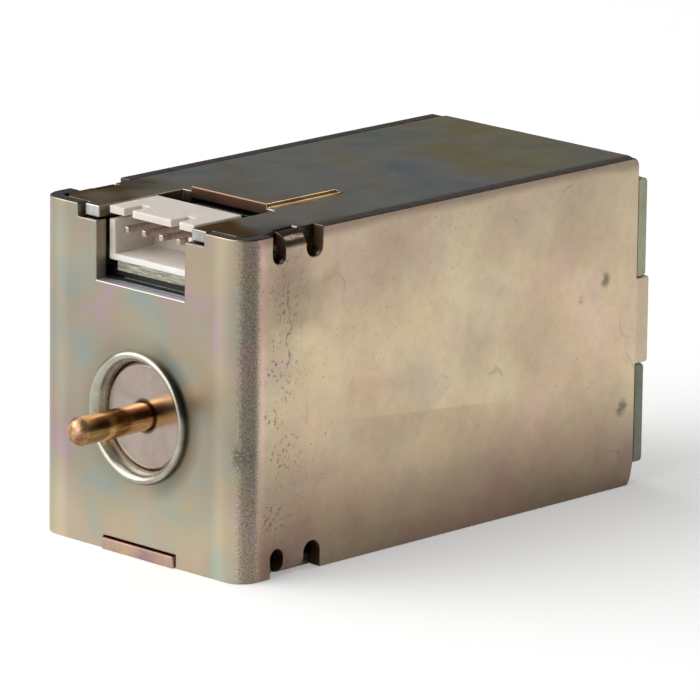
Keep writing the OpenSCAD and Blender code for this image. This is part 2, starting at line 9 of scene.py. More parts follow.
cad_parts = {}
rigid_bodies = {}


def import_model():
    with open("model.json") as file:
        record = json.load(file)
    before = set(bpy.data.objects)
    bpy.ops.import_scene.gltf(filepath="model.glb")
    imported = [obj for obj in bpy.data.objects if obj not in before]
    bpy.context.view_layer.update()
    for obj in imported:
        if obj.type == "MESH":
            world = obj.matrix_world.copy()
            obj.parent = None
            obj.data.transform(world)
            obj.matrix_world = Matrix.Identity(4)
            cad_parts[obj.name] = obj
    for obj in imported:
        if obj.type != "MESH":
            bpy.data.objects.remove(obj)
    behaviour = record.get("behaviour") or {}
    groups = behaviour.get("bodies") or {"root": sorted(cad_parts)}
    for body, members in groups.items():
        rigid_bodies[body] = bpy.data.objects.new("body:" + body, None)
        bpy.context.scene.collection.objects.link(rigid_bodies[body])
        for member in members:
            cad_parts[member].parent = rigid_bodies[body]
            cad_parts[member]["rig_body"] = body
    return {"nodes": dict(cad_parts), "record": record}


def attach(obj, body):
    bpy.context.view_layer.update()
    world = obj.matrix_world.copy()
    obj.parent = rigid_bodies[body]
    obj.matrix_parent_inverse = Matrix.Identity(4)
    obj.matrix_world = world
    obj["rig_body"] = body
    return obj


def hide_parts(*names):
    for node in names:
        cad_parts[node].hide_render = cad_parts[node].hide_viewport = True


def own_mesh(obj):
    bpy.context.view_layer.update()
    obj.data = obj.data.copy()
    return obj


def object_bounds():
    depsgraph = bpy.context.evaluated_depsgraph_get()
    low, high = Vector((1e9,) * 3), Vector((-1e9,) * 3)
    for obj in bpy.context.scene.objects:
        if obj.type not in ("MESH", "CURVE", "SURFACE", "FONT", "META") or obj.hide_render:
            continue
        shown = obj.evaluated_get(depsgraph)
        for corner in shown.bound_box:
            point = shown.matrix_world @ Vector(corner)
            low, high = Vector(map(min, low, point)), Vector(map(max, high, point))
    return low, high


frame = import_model()
CAD_LOW, CAD_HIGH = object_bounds()
MM = 0.001
SLOTS = {entry["node"]: entry["material_slot"] for entry in frame["record"]["subparts"]}


def grey(level):
    return (level, level, level)


def ends(node):
    """Front and rear end of a node's solid along the push pin's axis."""
    places = [vert.co.y for vert in frame["nodes"][node].data.vertices]
    return min(places), max(places)


# Camera, at the photograph's viewing angle, in degrees and metres, with the lens in millimetres
CAMERA_AZIMUTH = 44.524
CAMERA_ELEVATION = 14.12
CAMERA_ROLL = 0.702
CAMERA_DISTANCE = 752.1 * MM
CAMERA_LENS = 367.5
CAMERA_AIM = Vector((1.196, 29.5, 2.326)) * MM
CAMERA_NEAR = 0.01
CAMERA_FAR = 100.0

# Floor and studio walls; the dark wall fades in between two cosines of the angle from its middle
WHITE = grey(1.0)
FLOOR_REACH = 4.0
FLOOR_COLOUR = (0.86, 0.86, 0.855)
FLOOR_ROUGHNESS = 0.9
FLOOR_GLOW = 0.3
FLOOR_SHEEN = 0.1
STUDIO_WALLS = grey(0.22)
STUDIO_FILL = grey(0.2)
DARK_WALL = grey(0.07)
DARK_WALL_AZIMUTH = 90
DARK_WALL_FADE = (0.2, 0.7)

# Rounding of edges and cleaning of meshes
WELD_GAP = 0.0005 * MM
FLAT_ANGLE = math.radians(0.3)
SHARP_ANGLE = math.radians(32)
SMOOTH_ANGLE = math.radians(38)
SHEET_EDGE = 0.15 * MM
PART_EDGE = 0.07 * MM
EDGE_SEGMENTS = 2
STRAY_SHARE = 0.5

# The guide tube and its rolled rim, whose mouth flares from the bore to the crest
TUBE_BORE = 5.75 * MM
TUBE_OUT = 6.25 * MM
TUBE_STEPS = 160
RIM_OUT = 7.05 * MM
RIM_SHOULDER_Y = -0.18 * MM
RIM_CREST = 6.55 * MM
RIM_CREST_Y = -0.75 * MM
RIM_MOUTH_Y = 0.8 * MM
RIM_FLATNESS = 1.13
RIM_STEPS = 7

# The return spring, between the pole piece and the armature
SPRING_FRONT = 12.05 * MM
SPRING_REAR = 28.35 * MM
SPRING_MEAN_R = 2.35 * MM
SPRING_WIRE_R = 0.3 * MM
SPRING_TURNS = 9
SPRING_STEPS = 40
SPRING_SIDES = 12

# Edges of the part that the finishes follow, in millimetres
TONGUE_LIFT = 0.5
TONGUE_HALF = 5.6
TONGUE_Y = 23.6
WINDOW_Y = 12.6
TOP_Z = CAD_HIGH.z / MM - TONGUE_LIFT
HALF_W = CAD_HIGH.x / MM
REAR_Y = 59.0
WALL_T = 1.5
INNER_X = HALF_W - WALL_T
BEND_R = 2.5
BEND_X = HALF_W - BEND_R
NOTCH_HALF = 6.5
NOTCH_H = 7.6
NOTCH_Z = TOP_Z - NOTCH_H
CRIMP_FRONT_Y = 4.3
CRIMP_REAR_Y = 11.3
RIM_R = RIM_OUT / MM
PIN_R = 1.5
PIN_TIP_Y = ends("push_pin")[0] / MM


def direction(azimuth, elevation):
    """Unit vector from the object towards a place at that azimuth and elevation."""
    a = math.radians(azimuth)
    e = math.radians(elevation)
    return Vector((math.sin(a) * math.cos(e), -math.cos(a) * math.cos(e), math.sin(e)))


# Camera, floor, world and lamps


def make_camera():
    camera = bpy.data.objects.new("camera", bpy.data.cameras.new("camera"))
    camera.data.lens = CAMERA_LENS
    camera.data.clip_start = CAMERA_NEAR
    camera.data.clip_end = CAMERA_FAR
    back = direction(CAMERA_AZIMUTH, CAMERA_ELEVATION)
    level = Vector((0, 0, 1)).cross(back).normalized()
    upright = back.cross(level)
    roll = math.radians(CAMERA_ROLL)
    right = level * math.cos(roll) + upright * math.sin(roll)
    up = upright * math.cos(roll) - level * math.sin(roll)
    turn = Matrix((right, up, back)).transposed().to_4x4()
    camera.matrix_world = Matrix.Translation(CAMERA_AIM + back * CAMERA_DISTANCE) @ turn
    bpy.context.scene.collection.objects.link(camera)
    bpy.context.scene.camera = camera


class Graph:
    """The nodes of one material or world, with short ways to add a node and set or link its sockets."""

    def __init__(self, owner):
        owner.use_nodes = True
        self.owner = owner
        self.tree = owner.node_tree

    def put(self, socket, value):
        """Links a socket to another one, or sets its value. A plain colour is opaque."""
        if isinstance(value, bpy.types.NodeSocket):
            self.tree.links.new(value, socket)
        elif socket.type == "RGBA":
            socket.default_value = (*value, 1.0)
        else:
            socket.default_value = value

    def add(self, kind, sockets=None, **settings):
        node = self.tree.nodes.new(kind)
        for name, value in settings.items():
            setattr(node, name, value)
        for name, value in (sockets or {}).items():
            self.put(node.inputs[name], value)
        return node

    def math(self, operation, a, b=0.0, c=0.0):
        return self.add("ShaderNodeMath", {0: a, 1: b, 2: c}, operation=operation).outputs[0]

    def line(self, value, slope, start):
        """Start plus slope times value."""
        return self.math("MULTIPLY_ADD", value, slope, start)

    def times(self, first, *others):
        for other in others:
            first = self.math("MULTIPLY", first, other)
        return first

    def step(self, value, low, high):
        """0 below low, 1 above high, smooth between; the other way round if high is the lower one."""
        sockets = {"Value": value, "From Min": low, "From Max": high}
        node = self.add("ShaderNodeMapRange", sockets, interpolation_type="SMOOTHSTEP")
        return node.outputs["Result"]

    def mix(self, factor, a, b, blend="MIX"):
        """Blends two colours; the node's other sockets are for plain values and vectors."""
        node = self.add("ShaderNodeMix", {0: factor, 6: a, 7: b}, data_type="RGBA", blend_type=blend)
        return node.outputs[2]


def make_world():
    """A grey studio with one dark wall, white where the camera sees it."""
    world = bpy.data.worlds.new("studio")
    bpy.context.scene.world = world
    graph = Graph(world)
    path = graph.add("ShaderNodeLightPath").outputs
    look = graph.add("ShaderNodeTexCoord").outputs["Generated"]
    sockets = {0: look, 1: tuple(direction(DARK_WALL_AZIMUTH, 0))}
    aim = graph.add("ShaderNodeVectorMath", sockets, operation="DOT_PRODUCT").outputs["Value"]
    walls = graph.mix(graph.step(aim, *DARK_WALL_FADE), STUDIO_WALLS, DARK_WALL)
    unseen = graph.mix(path["Is Glossy Ray"], STUDIO_FILL, walls)
    shown = graph.mix(path["Is Camera Ray"], unseen, WHITE)
    graph.put(graph.tree.nodes["Background"].inputs["Color"], shown)


def make_floor():
    """A pale matt floor that glows a little, so that it runs into the white behind it."""
    mesh = bpy.data.meshes.new("floor")
    corners = ((-1, -1), (1, -1), (1, 1), (-1, 1))
    spots = [(x * FLOOR_REACH, y * FLOOR_REACH, CAD_LOW.z) for x, y in corners]
    mesh.from_pydata(spots, [], [(0, 1, 2, 3)])
    floor = bpy.data.objects.new("floor", mesh)
    bpy.context.scene.collection.objects.link(floor)
    graph = Graph(bpy.data.materials.new("floor"))
    inputs = graph.tree.nodes["Principled BSDF"].inputs
    graph.put(inputs["Base Color"], FLOOR_COLOUR)
    graph.put(inputs["Roughness"], FLOOR_ROUGHNESS)
    graph.put(inputs["Specular IOR Level"], 0.0)
    graph.put(inputs["Emission Color"], WHITE)
    path = graph.add("ShaderNodeLightPath").outputs
    mirrored = graph.times(path["Is Glossy Ray"], FLOOR_SHEEN)
    glow = graph.line(path["Is Camera Ray"], FLOOR_GLOW, mirrored)
    graph.put(inputs["Emission Strength"], glow)
    mesh.materials.append(graph.owner)


def make_lamp(name, azimuth, elevation, distance, size, power):
    """A rectangular lamp that points at the object."""
    lamp = bpy.data.objects.new(name, bpy.data.lights.new(name, "AREA"))
    lamp.data.shape = "RECTANGLE"
    lamp.data.size, lamp.data.size_y = size
    lamp.data.energy = power
    towards = direction(azimuth, elevation)
    lamp.location = CAMERA_AIM + towards * distance
    lamp.rotation_mode = "QUATERNION"
    lamp.rotation_quaternion = (-towards).to_track_quat("-Z", "Y")
    bpy.context.scene.collection.objects.link(lamp)


make_camera()
make_world()
make_floor()
make_lamp("softbox", azimuth=-68, elevation=48, distance=0.85, size=(1.1, 1.1), power=4.3)
make_lamp("front", azimuth=-28, elevation=29, distance=1.0, size=(1.5, 0.95), power=9.8)
make_lamp("rear", azimuth=160, elevation=43, distance=0.9, size=(0.2, 0.2), power=0.7)
bpy.context.scene.view_settings.view_transform = "Standard"


# Materials


class Surface(Graph):
    """A procedural finish. Its places and sizes are in millimetres, in the part's own frame."""

    def __init__(self, name, roughness=0.5, metallic=0.0):
        super().__init__(bpy.data.materials.new(name))
        self.shader = self.tree.nodes["Principled BSDF"]
        self.put(self.shader.inputs["Roughness"], roughness)
        self.put(self.shader.inputs["Metallic"], metallic)
        sockets = {0: self.add("ShaderNodeTexCoord").outputs["Object"], "Scale": 1.0 / MM}
        self.place = self.add("ShaderNodeVectorMath", sockets, operation="SCALE").outputs["Vector"]
        split = self.add("ShaderNodeSeparateXYZ", {0: self.place}).outputs
        self.x = split["X"]
        self.y = split["Y"]
        self.z = split["Z"]
        self.side = self.math("ABSOLUTE", self.x)
        self.reach = self.length(self.x, self.z)
        self.facing = self.add("ShaderNodeNewGeometry").outputs["Normal"]
        self.normal = None

    def length(self, a, b):
        """Length of the diagonal of a rectangle with sides a and b."""
        return self.math("SQRT", self.math("ADD", self.times(a, a), self.times(b, b)))

    def lathe(self):
        """From here on, patterns run in rings round the push pin's axis."""
        self.place = self.add("ShaderNodeCombineXYZ", {0: self.reach, 1: self.y}).outputs[0]

    def faces(self, x, y, z):
        """Cosine of the angle between the surface's normal and a direction."""
        sockets = {0: self.facing, 1: tuple(Vector((x, y, z)).normalized())}
        return self.add("ShaderNodeVectorMath", sockets, operation="DOT_PRODUCT").outputs["Value"]

    def along(self, x, y, z):
        """1 where the surface faces that direction or its opposite."""
        return self.step(self.math("ABSOLUTE", self.faces(x, y, z)), 0.5, 0.8)

    def band(self, value, low, high, soft):
        """1 between low and high, with soft ends."""
        start = self.step(value, low - soft, low + soft)
        return self.times(start, self.step(value, high + soft, high - soft))

    def blob(self, y, z, size):
        """1 round a place seen from the side, fading out until size away from it."""
        away = self.length(self.math("SUBTRACT", self.y, y), self.math("SUBTRACT", self.z, z))
        return self.step(away, size, 0.3 * size)

    def most(self, first, *others):
        for other in others:
            first = self.math("MAXIMUM", first, other)
        return first

    def noise(self, size, detail=2.0, roughness=0.5, stretch=(1, 1, 1), warp=0.0, shift=0.0):
        """Soft noise from 0 to 1 whose grains are about size wide, drawn out along stretch."""
        scale = tuple(1.0 / (size * draw) for draw in stretch)
        sockets = {"Vector": self.place, "Location": (shift, shift, shift), "Scale": scale}
        spot = self.add("ShaderNodeMapping", sockets).outputs[0]
        sockets = {"Vector": spot, "Scale": 1.0, "Detail": detail, "Roughness": roughness}
        return self.add("ShaderNodeTexNoise", {**sockets, "Distortion": warp}).outputs["Fac"]

    def specks(self, size, rarity, crowd_size, shift):
        """Small scattered marks, crowded in some places."""
        dots = self.step(self.noise(size, detail=1.5, shift=shift), rarity, rarity + 0.06)
        crowd = self.step(self.noise(crowd_size, shift=shift + 2.3), 0.42, 0.66)
        return self.times(dots, crowd)

    def scuffs(self, size, shift):
        """Thin curved scuff lines, broken up."""
        field = self.noise(size, detail=1.5, shift=shift)
        lines = self.step(self.math("ABSOLUTE", self.math("SUBTRACT", field, 0.5)), 0.012, 0.003)
        broken = self.step(self.noise(0.6 * size, shift=shift + 4.1), 0.6, 0.7)
        return self.times(lines, broken)

    def ramp(self, value, *stops):
        """Colours at values from 0 to 1, with straight blends between them."""
        node = self.add("ShaderNodeValToRGB", {"Fac": value})
        stack = node.color_ramp.elements
        while len(stack) < len(stops):
            stack.new(1.0)
        for element, (at, colour) in zip(stack, stops):
            element.position = at
            element.color = (*colour, 1.0)
        return node.outputs["Color"]

    def two_tone(self, grain, dark, light):
        """Two colours that follow a noise."""
        return self.ramp(grain, (0.3, dark), (0.7, light))

    def shade(self, colour, factor, tint):
        """Multiplies the colour by tint where factor is 1."""
        return self.mix(factor, colour, tint, "MULTIPLY")

    def bump(self, height, depth):
        """Raises the surface by up to depth where height is 1."""
        sockets = {"Height": height, "Distance": depth * MM, "Strength": 1.0}
        if self.normal:
            sockets["Normal"] = self.normal
        self.normal = self.add("ShaderNodeBump", sockets).outputs["Normal"]

    def finish(self, colour, roughness=None):
        """Links the colour, the bumps and, if it varies, the roughness to the shader."""
        for name, value in (("Base Color", colour), ("Roughness", roughness), ("Normal", self.normal)):
            if value is not None:
                self.put(self.shader.inputs[name], value)
        return self.owner


def wrap_film(s, on_front, on_side, gold, cloud):
    """The iridescent film: straw with pink clouds on the sides, lilac to teal on the front, painted
    lighter low down.
    """
    pink = (0.85, 0.67, 0.5)
    straw = (0.84, 0.69, 0.46)
    pale = (0.86, 0.73, 0.5)
    stone = (0.78, 0.66, 0.5)
    sides = s.ramp(s.noise(9.0, warp=0.5), (0.3, pink), (0.45, straw), (0.6, pale), (0.74, stone))

    lilac = (0.44, 0.34, 0.34)
    beige = (0.42, 0.35, 0.28)
    olive = (0.39, 0.36, 0.28)
    teal = (0.33, 0.37, 0.33)
    amber = (0.47, 0.38, 0.24)
    hue = s.noise(5.8, detail=2.5, warp=0.5, shift=4.4)
    hue = s.line(s.step(s.reach, 13.0, 8.0), 0.06, hue)
    front = s.ramp(hue, (0.34, lilac), (0.44, beige), (0.54, olive), (0.66, teal))
    front = s.mix(s.times(s.step(gold, 0.46, 0.68), 0.5), front, amber)
    # Painted light: the front is lighter towards the base, where it would reflect the nearer floor
    front = s.shade(front, s.step(s.z, -2.0, -13.0), (1.36, 1.36, 1.33))

    murky = (0.84, 0.8, 0.81)
    plain = (0.98, 0.96, 0.95)
    bright = (1.1, 1.1, 1.06)
    clouds = s.ramp(cloud, (0.32, murky), (0.5, plain), (0.66, bright))
    colour = s.mix(on_front, sides, front)
    colour = s.shade(colour, s.line(on_front, -0.6, 1.0), clouds)
    return s.shade(colour, s.times(s.step(gold, 0.44, 0.6), on_side), (1.03, 0.98, 1.0))


def wrap_shades(s, colour, on_front, on_side, gold, cloud):
    """Painted shade below a crease, low down and round the rim; darker rear tabs and top; dirt and shade
    at the slots.
    """
    # Painted shade below a crease in the sheet
    slant = s.line(s.y, 0.09, s.z)
    crease = s.times(s.step(slant, 1.5, 1.1), s.step(slant, -4.0, 1.0), s.band(s.y, 16.0, 38.0, 4.0))
    colour = s.shade(colour, crease, (0.89, 0.85, 0.85))
    # Painted shade: the sides darken towards the base, more at the rear, as if reflecting the floor in
    # the object's shadow
    low = s.step(s.line(s.y, 0.05, s.z), 2.0, -14.0)
    colour = s.shade(colour, s.times(low, on_side), (0.5, 0.46, 0.49))
    colour = s.shade(colour, s.times(low, s.step(s.y, 24.0, 52.0)), (0.8, 0.77, 0.8))
    rear_tabs = s.step(s.y, REAR_Y - 0.2, REAR_Y + 0.2)
    colour = s.shade(colour, rear_tabs, (0.87, 0.88, 0.9))
    high = s.step(s.line(gold, 9.0, s.z), 12.0, 24.0)
    colour = s.shade(colour, s.times(high, on_side), (0.8, 0.8, 0.84))
    # Dirt and painted shade round the crimp slots, broken up by a noise
    slot_grime_and_shade = s.most(s.blob(y=7.0, z=16.0, size=11.0), s.blob(y=7.5, z=-14.5, size=6.0))
    slot_grime_and_shade = s.times(slot_grime_and_shade, s.step(cloud, 0.62, 0.4), on_side)
    colour = s.shade(colour, slot_grime_and_shade, (0.74, 0.73, 0.74))
    brow = s.step(s.line(cloud, 1.6, s.z), TOP_Z - 0.6, TOP_Z + 0.6)
    colour = s.shade(colour, s.times(brow, on_side), (0.6, 0.57, 0.6))
    # Painted shade round the rim on the front, and a deeper painted shadow to its right
    ring = s.times(s.step(s.reach, RIM_R + 2.55, RIM_R - 0.05), on_front)
    colour = s.shade(colour, ring, (0.86, 0.85, 0.82))
    return s.shade(colour, s.times(ring, s.step(s.x, 0.0, 5.0)), (0.62, 0.6, 0.58))


def wrap_bends(s, colour, on_front, on_bend):
    """Grain and painted shade on the bends, a painted highlight and a lilac strip by them. Also gives
    the matt, shaded middle of the bends.
    """
    turned = s.most(s.faces(0.88, -0.47, 0.0), s.faces(-0.88, -0.47, 0.0))
    dull_and_shaded = s.times(s.step(turned, 0.88, 0.995), on_bend)
    # Painted highlight: a lighter strip on the front beside each bend
    bend_highlight = s.times(s.band(s.side, BEND_X - 1.5, BEND_X + 0.1, 0.7), on_front)
    colour = s.shade(colour, bend_highlight, (1.16, 1.16, 1.15))
    # Painted shade on the middle of each bend, which is also rougher
    colour = s.shade(colour, dull_and_shaded, grey(0.66))
    sand = s.ramp(s.noise(0.18, detail=1, shift=2.0), (0.38, grey(0.74)), (0.62, grey(1.22)))
    colour = s.shade(colour, s.times(s.step(turned, 0.78, 0.94), on_bend), sand)
    # A lilac tint just past each bend that also brightens it: part film colour, part painted highlight
    rosy = s.band(s.y, BEND_R - 0.1, BEND_R + 0.7, 0.4)
    rosy = s.times(rosy, s.step(s.side, HALF_W - 2.0, HALF_W - 0.5))
    return s.shade(colour, rosy, (1.15, 1.06, 1.16)), dull_and_shaded


def wrap_marks(s, on_side, on_bend, mottle):
    """Pits, a scar, a crack, specks, scuffs and painted dent shades, most of them on the sides next to
    the bends.
    """
    pits = s.step(s.noise(0.5, detail=3, roughness=0.7, shift=1.9), 0.55, 0.63)
    pits = s.times(pits, s.step(s.noise(3.5, shift=4.9), 0.42, 0.56))
    pits = s.times(pits, s.step(s.y, BEND_R + 0.3, BEND_R + 1.1), s.step(s.y, 11.0, 5.0))
    scar = s.times(s.step(s.noise(0.4, shift=7.3), 0.46, 0.54), s.blob(y=0.8, z=-1.6, size=1.7))
    scar = s.times(scar, on_bend, s.step(s.x, HALF_W - 1.8, HALF_W - 1.4))
    wander = s.noise(2.2, detail=4, roughness=0.65, shift=3.7)
    wander = s.line(wander, 3.2, s.y)
    crack = s.times(s.band(wander, 8.05, 8.25, 0.06), s.band(s.z, 7.0, 16.0, 0.8))
    crack = s.times(crack, s.step(s.noise(1.6, shift=9.9), 0.32, 0.46))
    specks = s.times(s.specks(size=0.35, rarity=0.69, crowd_size=14.0, shift=11.2), on_side)
    finer = s.times(s.specks(size=0.2, rarity=0.74, crowd_size=10.0, shift=2.9), 0.8)
    scuffs = s.times(s.scuffs(size=8.0, shift=5.5), on_side, 0.35)
    # Painted shade of three small dents
    dent_shades = s.most(s.blob(y=53.9, z=8.4, size=1.1), s.blob(y=50.4, z=6.8, size=0.7))
    dent_shades = s.most(dent_shades, s.blob(y=57.0, z=-6.2, size=1.3))
    dent_shades = s.times(dent_shades, s.step(mottle, 0.66, 0.4))
    return s.most(pits, scar, crack, specks, finer, scuffs, dent_shades)


def wrap_edges(s, colour):
    """The sheet's cut edges, with painted shade where they face up and in the slots. Also gives those
    that face up, and the matt ones.
    """
    rise = s.faces(0, 0, 1)
    crimp = s.times(s.step(rise, 0.15, 0.4), s.band(s.y, CRIMP_FRONT_Y, CRIMP_REAR_Y, 0.1))
    brink = s.times(s.step(rise, 0.15, 0.35), s.step(s.z, TOP_Z - 0.7, TOP_Z - 0.4))
    brink = s.times(brink, s.step(s.faces(0, -1, 0), 0.5, 0.25))
    partly = s.times(s.most(s.band(rise, 0.3, 0.5, 0.08), crimp), 0.7)
    upward = s.most(s.step(rise, 0.84, 0.95), partly, brink)
    near = s.step(s.y, WALL_T + 0.5, WALL_T + 0.1)
    sill = s.times(upward, near, s.step(s.side, NOTCH_HALF + 0.5, NOTCH_HALF + 0.2))
    sill = s.times(sill, s.step(s.z, NOTCH_Z + 2.1, NOTCH_Z + 1.1))
    cheek = s.times(near, s.step(s.side, BEND_X - 0.2, BEND_X - 0.6), s.along(1, 0, 0))
    lengthwise = s.along(0, 1, 0)
    slot = s.times(s.band(s.y, CRIMP_FRONT_Y - 1.3, CRIMP_REAR_Y + 1.7, 0.2), lengthwise)
    rear = s.times(s.step(s.y, CRIMP_REAR_Y + 1.7, CRIMP_REAR_Y + 2.7), lengthwise)
    # Painted shade on the faces that look up, on the crimps and along the top edges
    colour = s.shade(colour, upward, (0.17, 0.165, 0.17))
    colour = s.shade(colour, rear, (0.45, 0.45, 0.48))
    colour = s.shade(colour, cheek, (0.98, 0.92, 0.84))
    # Painted shade inside the slots
    colour = s.shade(colour, slot, (0.3, 0.26, 0.22))
    # Painted reflection: the notch's sill is a light bluish grey
    colour = s.mix(sill, colour, (0.72, 0.74, 0.8))
    return colour, upward, s.most(cheek, slot, sill)


def wrap_finish():
    """Zinc plate with an iridescent film on its walls, matt with painted shade on the bends and on cut
    edges.
    """
    s = Surface("zinc_wrap", metallic=1.0)
    on_front = s.step(s.y, BEND_R + 0.5, BEND_R - 0.7)
    on_side = s.math("SUBTRACT", 1.0, on_front)
    on_bend = s.step(s.y, BEND_R + 0.4, BEND_R - 0.1)
    on_bend = s.times(on_bend, s.step(s.side, BEND_X - 0.2, BEND_X + 0.1))
    gold = s.noise(8.0, detail=1.5, warp=0.3, shift=6.3)
    cloud = s.noise(9.0, detail=3, shift=3.1)
    mottle = s.noise(1.1, detail=3, roughness=0.6, shift=8.2)
    colour = wrap_film(s, on_front, on_side, gold, cloud)
    colour = s.shade(colour, s.times(s.step(mottle, 0.54, 0.36), on_side), (0.955, 0.95, 0.95))
    colour = wrap_shades(s, colour, on_front, on_side, gold, cloud)
    colour, dull_and_shaded = wrap_bends(s, colour, on_front, on_bend)
    marks = wrap_marks(s, on_side, on_bend, mottle)
    colour = s.mix(s.times(marks, 0.75), colour, (0.18, 0.14, 0.11))
    colour, upward, matt = wrap_edges(s, colour)
    waves = s.noise(14.0, detail=1, shift=5.0)
    grain = s.noise(0.22)
    dents = s.times(s.noise(1.0, shift=2.2), upward)
    s.bump(waves, 0.03)
    s.bump(grain, 0.0014)
    s.bump(dents, 0.12)
    rough = s.most(s.line(cloud, 0.14, 0.23), s.times(matt, 0.55))
    return s.finish(colour, s.line(dull_and_shaded, 0.12, rough))


def channel_film(s, blotch):
    """The film's colours, brown in front and olive at the rear, and stronger ones at a grazing angle."""
    drift = s.noise(9.0, warp=0.4, shift=1.3)
    tint = s.noise(13.0, warp=0.4, shift=7.7)
    hue = s.line(drift, 0.6, s.line(s.y, 0.012, -0.2))
    gilt = s.times(s.step(tint, 0.5, 0.64), s.step(s.y, 22.0, 42.0), 0.6)
    blue = s.times(s.step(tint, 0.48, 0.34), 0.5)

    brown = (0.17, 0.13, 0.09)
    dun = (0.33, 0.3, 0.23)
    slate = (0.335, 0.335, 0.32)
    olive = (0.4, 0.365, 0.28)
    colour = s.ramp(hue, (0.1, brown), (0.2, dun), (0.32, slate), (0.5, slate), (0.8, olive))
    colour = s.mix(gilt, colour, (0.37, 0.345, 0.27))
    colour = s.mix(blue, colour, (0.3, 0.325, 0.345))

    rust = (0.68, 0.48, 0.32)
    sand = (0.92, 0.84, 0.72)
    clear = (0.98, 0.98, 0.96)
    moss = (1.0, 0.94, 0.64)
    grazing = s.ramp(hue, (0.12, rust), (0.23, sand), (0.36, clear), (0.5, clear), (0.8, moss))
    grazing = s.mix(gilt, grazing, (1.0, 0.86, 0.36))
    grazing = s.mix(blue, grazing, (0.5, 0.82, 1.0))
    s.put(s.shader.inputs["Specular Tint"], grazing)
    return s.shade(colour, s.step(blotch, 0.62, 0.3), (0.9, 0.89, 0.88))


def channel_details(s, colour, blotch):
    """The ears at the rear, the base tab, the raised tongue and the edges at the top."""
    moss = (0.38, 0.37, 0.25)
    straw = (0.5, 0.5, 0.36)
    ears = s.step(s.y, REAR_Y - 0.4, REAR_Y - 0.1)
    ears = s.times(ears, s.step(s.side, INNER_X - 0.3, INNER_X - 0.1))
    colour = s.mix(ears, colour, s.ramp(blotch, (0.35, moss), (0.62, straw)))
    # Painted shade on the lower halves of the ears
    colour = s.shade(colour, s.times(ears, s.step(s.z, 2.0, 0.0)), (0.57, 0.57, 0.66))

    violet = (0.42, 0.28, 0.32)
    rose = (0.58, 0.4, 0.32)
    gold = (0.64, 0.48, 0.3)
    base_tab = s.times(s.step(s.y, WALL_T - 0.1, WALL_T - 0.5), s.step(s.z, 0.0, -5.0))
    colour = s.mix(base_tab, colour, s.ramp(blotch, (0.36, violet), (0.5, rose), (0.64, gold)))
    # Painted shade on the base tab's up-facing edge, for the gap above it
    colour = s.shade(colour, s.times(base_tab, s.step(s.faces(0, 0, 1), 0.3, 0.6)), (0.25, 0.2, 0.2))

    copper = (0.6, 0.36, 0.18)
    brass = (0.95, 0.66, 0.34)
    lip = s.band(s.y, WINDOW_Y - 0.1, WINDOW_Y + 0.1, 0.05)
    lip = s.times(lip, s.step(s.side, TONGUE_HALF + 0.4, TONGUE_HALF + 0.1))
    colour = s.mix(lip, colour, (0.26, 0.15, 0.11))
    flank = s.band(s.side, TONGUE_HALF - 0.1, TONGUE_HALF + 0.1, 0.05)
    flank = s.times(flank, s.band(s.y, WINDOW_Y, TONGUE_Y, 0.1), s.step(s.z, TOP_Z - 0.1, TOP_Z + 0.1))
    colour = s.mix(flank, colour, s.ramp(blotch, (0.4, copper), (0.55, brass)))

    iron = (0.45, 0.43, 0.42)
    silver = (0.72, 0.72, 0.74)
    border = s.step(s.math("ABSOLUTE", s.faces(1, 0, 0)), 0.25, 0.5)
    border = s.times(border, s.step(s.z, TOP_Z - 2.0, TOP_Z - 1.0), s.step(s.side, 9.0, 10.0))
    # Painted shade on the top plate's side edges, dimming their highlight
    colour = s.shade(colour, border, (0.3, 0.28, 0.27))
    front = s.times(s.step(s.y, 0.9, 0.6), s.step(s.z, TOP_Z - 6.0, TOP_Z - 5.0), s.along(0, 1, 0))
    return s.mix(front, colour, s.ramp(blotch, (0.36, iron), (0.6, silver)))


def channel_finish():
    """Zinc plate on the top, rear and bottom, glossier and greyer than the wrap."""
    s = Surface("zinc_channel", metallic=1.0)
    blotch = s.noise(3.5, detail=4, roughness=0.6, shift=3.1)
    colour = channel_film(s, blotch)
    colour = channel_details(s, colour, blotch)
    specks = s.times(s.specks(size=0.25, rarity=0.7, crowd_size=6.0, shift=6.1), 0.8)
    scuffs = s.times(s.scuffs(size=8.0, shift=9.4), 0.4)
    colour = s.mix(s.times(s.most(specks, scuffs), 0.6), colour, (0.12, 0.1, 0.08))
    waves = s.noise(16.0, detail=1, shift=5.0)
    grain = s.noise(0.25)
    s.bump(waves, 0.05)
    s.bump(grain, 0.0008)
    return s.finish(colour, s.line(blotch, 0.16, 0.26))


def lathe_finish(name, dark, light, roughness, groove, depth):
    """Turned metal with fine rings round the pin's axis, dark next to the pin, with painted shade
    outside the rim.
    """
    s = Surface(name, metallic=1.0)
    stain = s.noise(3.0, detail=3, warp=0.7)
    colour = s.ramp(stain, (0.32, dark), (0.66, light))
    colour = s.shade(colour, s.step(s.reach, PIN_R + 0.5, PIN_R + 0.2), (0.25, 0.2, 0.17))
    # Painted shade on the bead's outer flank
    colour = s.shade(colour, s.step(s.reach, RIM_R - 0.3, RIM_R - 0.05), (0.4, 0.38, 0.36))
    specks = s.specks(size=0.22, rarity=0.68, crowd_size=3.0, shift=4.4)
    colour = s.mix(s.times(specks, 0.6), colour, (0.12, 0.08, 0.06))
    s.lathe()
    s.bump(s.noise(groove, detail=3), depth)
    return s.finish(colour, s.line(stain, 0.12, roughness))


